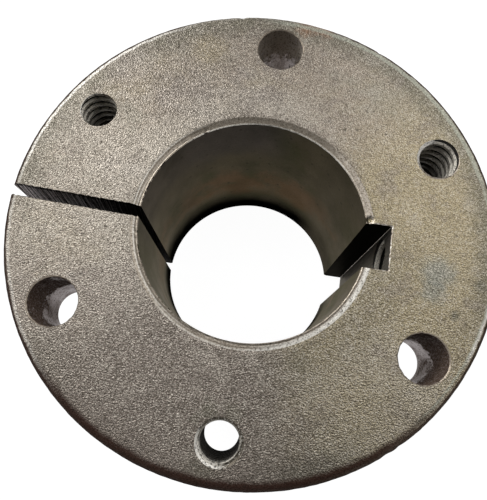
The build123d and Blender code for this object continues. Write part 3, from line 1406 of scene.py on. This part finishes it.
class BUSHING_OT_set_screw(bpy.types.Operator):
    """Makes the set screw with its thread, hexagon socket and cup point"""

    bl_idname = "bushing.set_screw"
    bl_label = "Make the Set Screw"

    def execute(self, context):
        settings = context.scene.bushing
        sizes, pitch = settings.screw, settings.holes.thread_pitch
        point, head = SCREW_LOW.x, SCREW_HIGH.x
        steel = blackened_screw(settings.colours)
        bm = thread(sizes.core, sizes.radius, pitch, point, head)
        screw = make_object("socket_screw", bm, [steel])
        bm = plug(
            [
                (0, point + sizes.cup_depth),
                (sizes.radius - sizes.point_chamfer, point),
                (sizes.radius, point + sizes.point_chamfer),
                (sizes.radius + OVER, point + sizes.point_chamfer),
                (sizes.radius + OVER, head - sizes.head_chamfer),
                (sizes.radius - sizes.head_chamfer, head),
                (0, head),
            ]
        )
        ends = make_object("screw_ends", bm, [steel])
        bm = bmesh.new()
        across = sizes.socket_width / math.sqrt(3)
        bmesh.ops.create_cone(
            bm,
            cap_ends=True,
            cap_tris=False,
            segments=6,
            radius1=across,
            radius2=across,
            depth=sizes.socket_depth + OVER,
            matrix=Matrix.Translation((0, 0, head - (sizes.socket_depth - OVER) / 2)),
        )
        socket = make_object("socket_cutter", bm, [steel])
        carve(screw, [(ends, "INTERSECT"), (socket, "DIFFERENCE")])
        screw.data.transform(SIDEWAYS)
        smooth(screw)
        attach(screw, "root")
        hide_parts("set_screw")
        return {"FINISHED"}


# The studio


PANELS = (
    # the name, the height and direction from the object in degrees, the side in metres and the
    # power in watts
    ("low_left_panel", 30, 140, 0.45, 3.15),
    ("high_left_panel", 62, 170, 0.45, 1.45),
    ("back_panel", 40, 60, 0.45, 1.25),
    ("high_right_panel", 62, 30, 0.45, 1.15),
)
PANEL_DISTANCE = 0.8
# How much of the lamps' light the floor shows, the object's shadow with it
FLOOR_LIT = 0.2
# The floor's colour for the rays that light the object
FLOOR_BOUNCE = (0.3, 0.3, 0.3)
ROOM_DARK = (0.012, 0.012, 0.012)
ROOM_WHITE = (1, 1, 1)


class BUSHING_OT_studio(bpy.types.Operator):
    """Makes the pale floor, the soft panels and the camera"""

    bl_idname = "bushing.studio"
    bl_label = "Make the Studio"

    def execute(self, context):
        studio = context.scene.bushing.studio
        self.floor(studio)
        self.panels(context.scene)
        self.world(context.scene)
        self.camera(context.scene, studio)
        return {"FINISHED"}

    def floor(self, studio):
        """A floor that is seen nearly white, but sends only plain light to the object."""
        bm = bmesh.new()
        bmesh.ops.create_grid(bm, x_segments=4, y_segments=4, size=studio.floor_width / 2)
        finish = Finish("pale_floor", Roughness=0.9)
        finish.feed(finish.surface.inputs["Base Color"], studio.floor_colour)
        white = finish.node("ShaderNodeEmission", inputs={"Strength": studio.floor_white})
        shaders = {0: 1 - FLOOR_LIT, 1: finish.surface.outputs[0]}
        lit = finish.node("ShaderNodeMixShader", inputs=shaders)
        shaders = {0: white.outputs[0], 1: lit.outputs[0]}
        backdrop = finish.node("ShaderNodeAddShader", inputs=shaders)
        plain = finish.node("ShaderNodeBsdfDiffuse", inputs={"Color": FLOOR_BOUNCE})
        shaders = {0: finish.seen(), 1: plain.outputs[0], 2: backdrop.outputs[0]}
        mix = finish.node("ShaderNodeMixShader", inputs=shaders)
        finish.feed(finish.output.inputs["Surface"], mix.outputs[0])
        make_object("floor", bm, [finish.material])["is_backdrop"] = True

    def panels(self, scene):
        """Square lamps round the object, each turned to its middle."""
        for name, rise, turn, side, power in PANELS:
            lamp = bpy.data.lights.new(name, "AREA")
            lamp.shape = "SQUARE"
            lamp.size = side
            lamp.energy = power
            obj = bpy.data.objects.new(name, lamp)
            away = Vector((math.cos(math.radians(rise)), 0, math.sin(math.radians(rise))))
            away.rotate(Matrix.Rotation(math.radians(turn), 3, "Z"))
            obj.location = Vector((0, 0, BODY_HIGH.z / 2)) + away * PANEL_DISTANCE
            obj.rotation_euler = away.to_track_quat("Z", "Y").to_euler()
            scene.collection.objects.link(obj)

    def world(self, scene):
        """A dim room whose walls are white where they are seen or mirrored."""
        scene.world = bpy.data.worlds.new("studio")
        nodes = Nodes(scene.world)
        height = nodes.parts(nodes.node("ShaderNodeTexCoord").outputs["Generated"])[2]
        wall = nodes.ramp(height, 0.6, 0.35) * nodes.seen()
        shade = nodes.layers(ROOM_DARK, (ROOM_WHITE, wall))
        room = nodes.node("ShaderNodeBackground", inputs={"Color": shade})
        nodes.node("ShaderNodeOutputWorld", inputs={"Surface": room.outputs[0]})

    def camera(self, scene, studio):
        """The camera of the photograph."""
        data = bpy.data.cameras.new("camera")
        data.sensor_width = 36
        data.lens = studio.lens
        data.shift_x, data.shift_y = studio.shift
        data.clip_start = 1 * MM
        camera = bpy.data.objects.new("camera", data)
        turn = Vector(studio.camera_turn)
        matrix = Matrix.Rotation(turn.length, 3, turn.normalized())
        camera.rotation_mode = "QUATERNION"
        camera.rotation_quaternion = matrix.to_quaternion()
        camera.location = studio.camera_place
        scene.collection.objects.link(camera)
        scene.camera = camera
        scene.view_settings.view_transform = "Standard"


class VIEW3D_PT_bushing(bpy.types.Panel):
    """The bushing's pieces, in the order that they are made"""

    bl_label = "Bushing"
    bl_space_type = "VIEW_3D"
    bl_region_type = "UI"
    bl_category = "Bushing"

    def draw(self, context):
        for operator in (BUSHING_OT_body, BUSHING_OT_set_screw, BUSHING_OT_studio):
            self.layout.operator(operator.bl_idname)


CLASSES = (
    BodySizes,
    HoleSizes,
    ScrewSizes,
    SurfaceColours,
    StudioSettings,
    BushingSettings,
    BUSHING_OT_body,
    BUSHING_OT_set_screw,
    BUSHING_OT_studio,
    VIEW3D_PT_bushing,
)


def register():
    for cls in CLASSES:
        bpy.utils.register_class(cls)
    bpy.types.Scene.bushing = PointerProperty(type=BushingSettings)


def unregister():
    del bpy.types.Scene.bushing
    for cls in reversed(CLASSES):
        bpy.utils.unregister_class(cls)


def main():
    register()
    bpy.ops.bushing.body()
    bpy.ops.bushing.set_screw()
    bpy.ops.bushing.studio()
    boxes = {"cad": CAD_BOX, "visual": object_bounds()}
    {name: [list(corner) for corner in box] for name, box in boxes.items()}


if __name__ == "__main__":
    main()
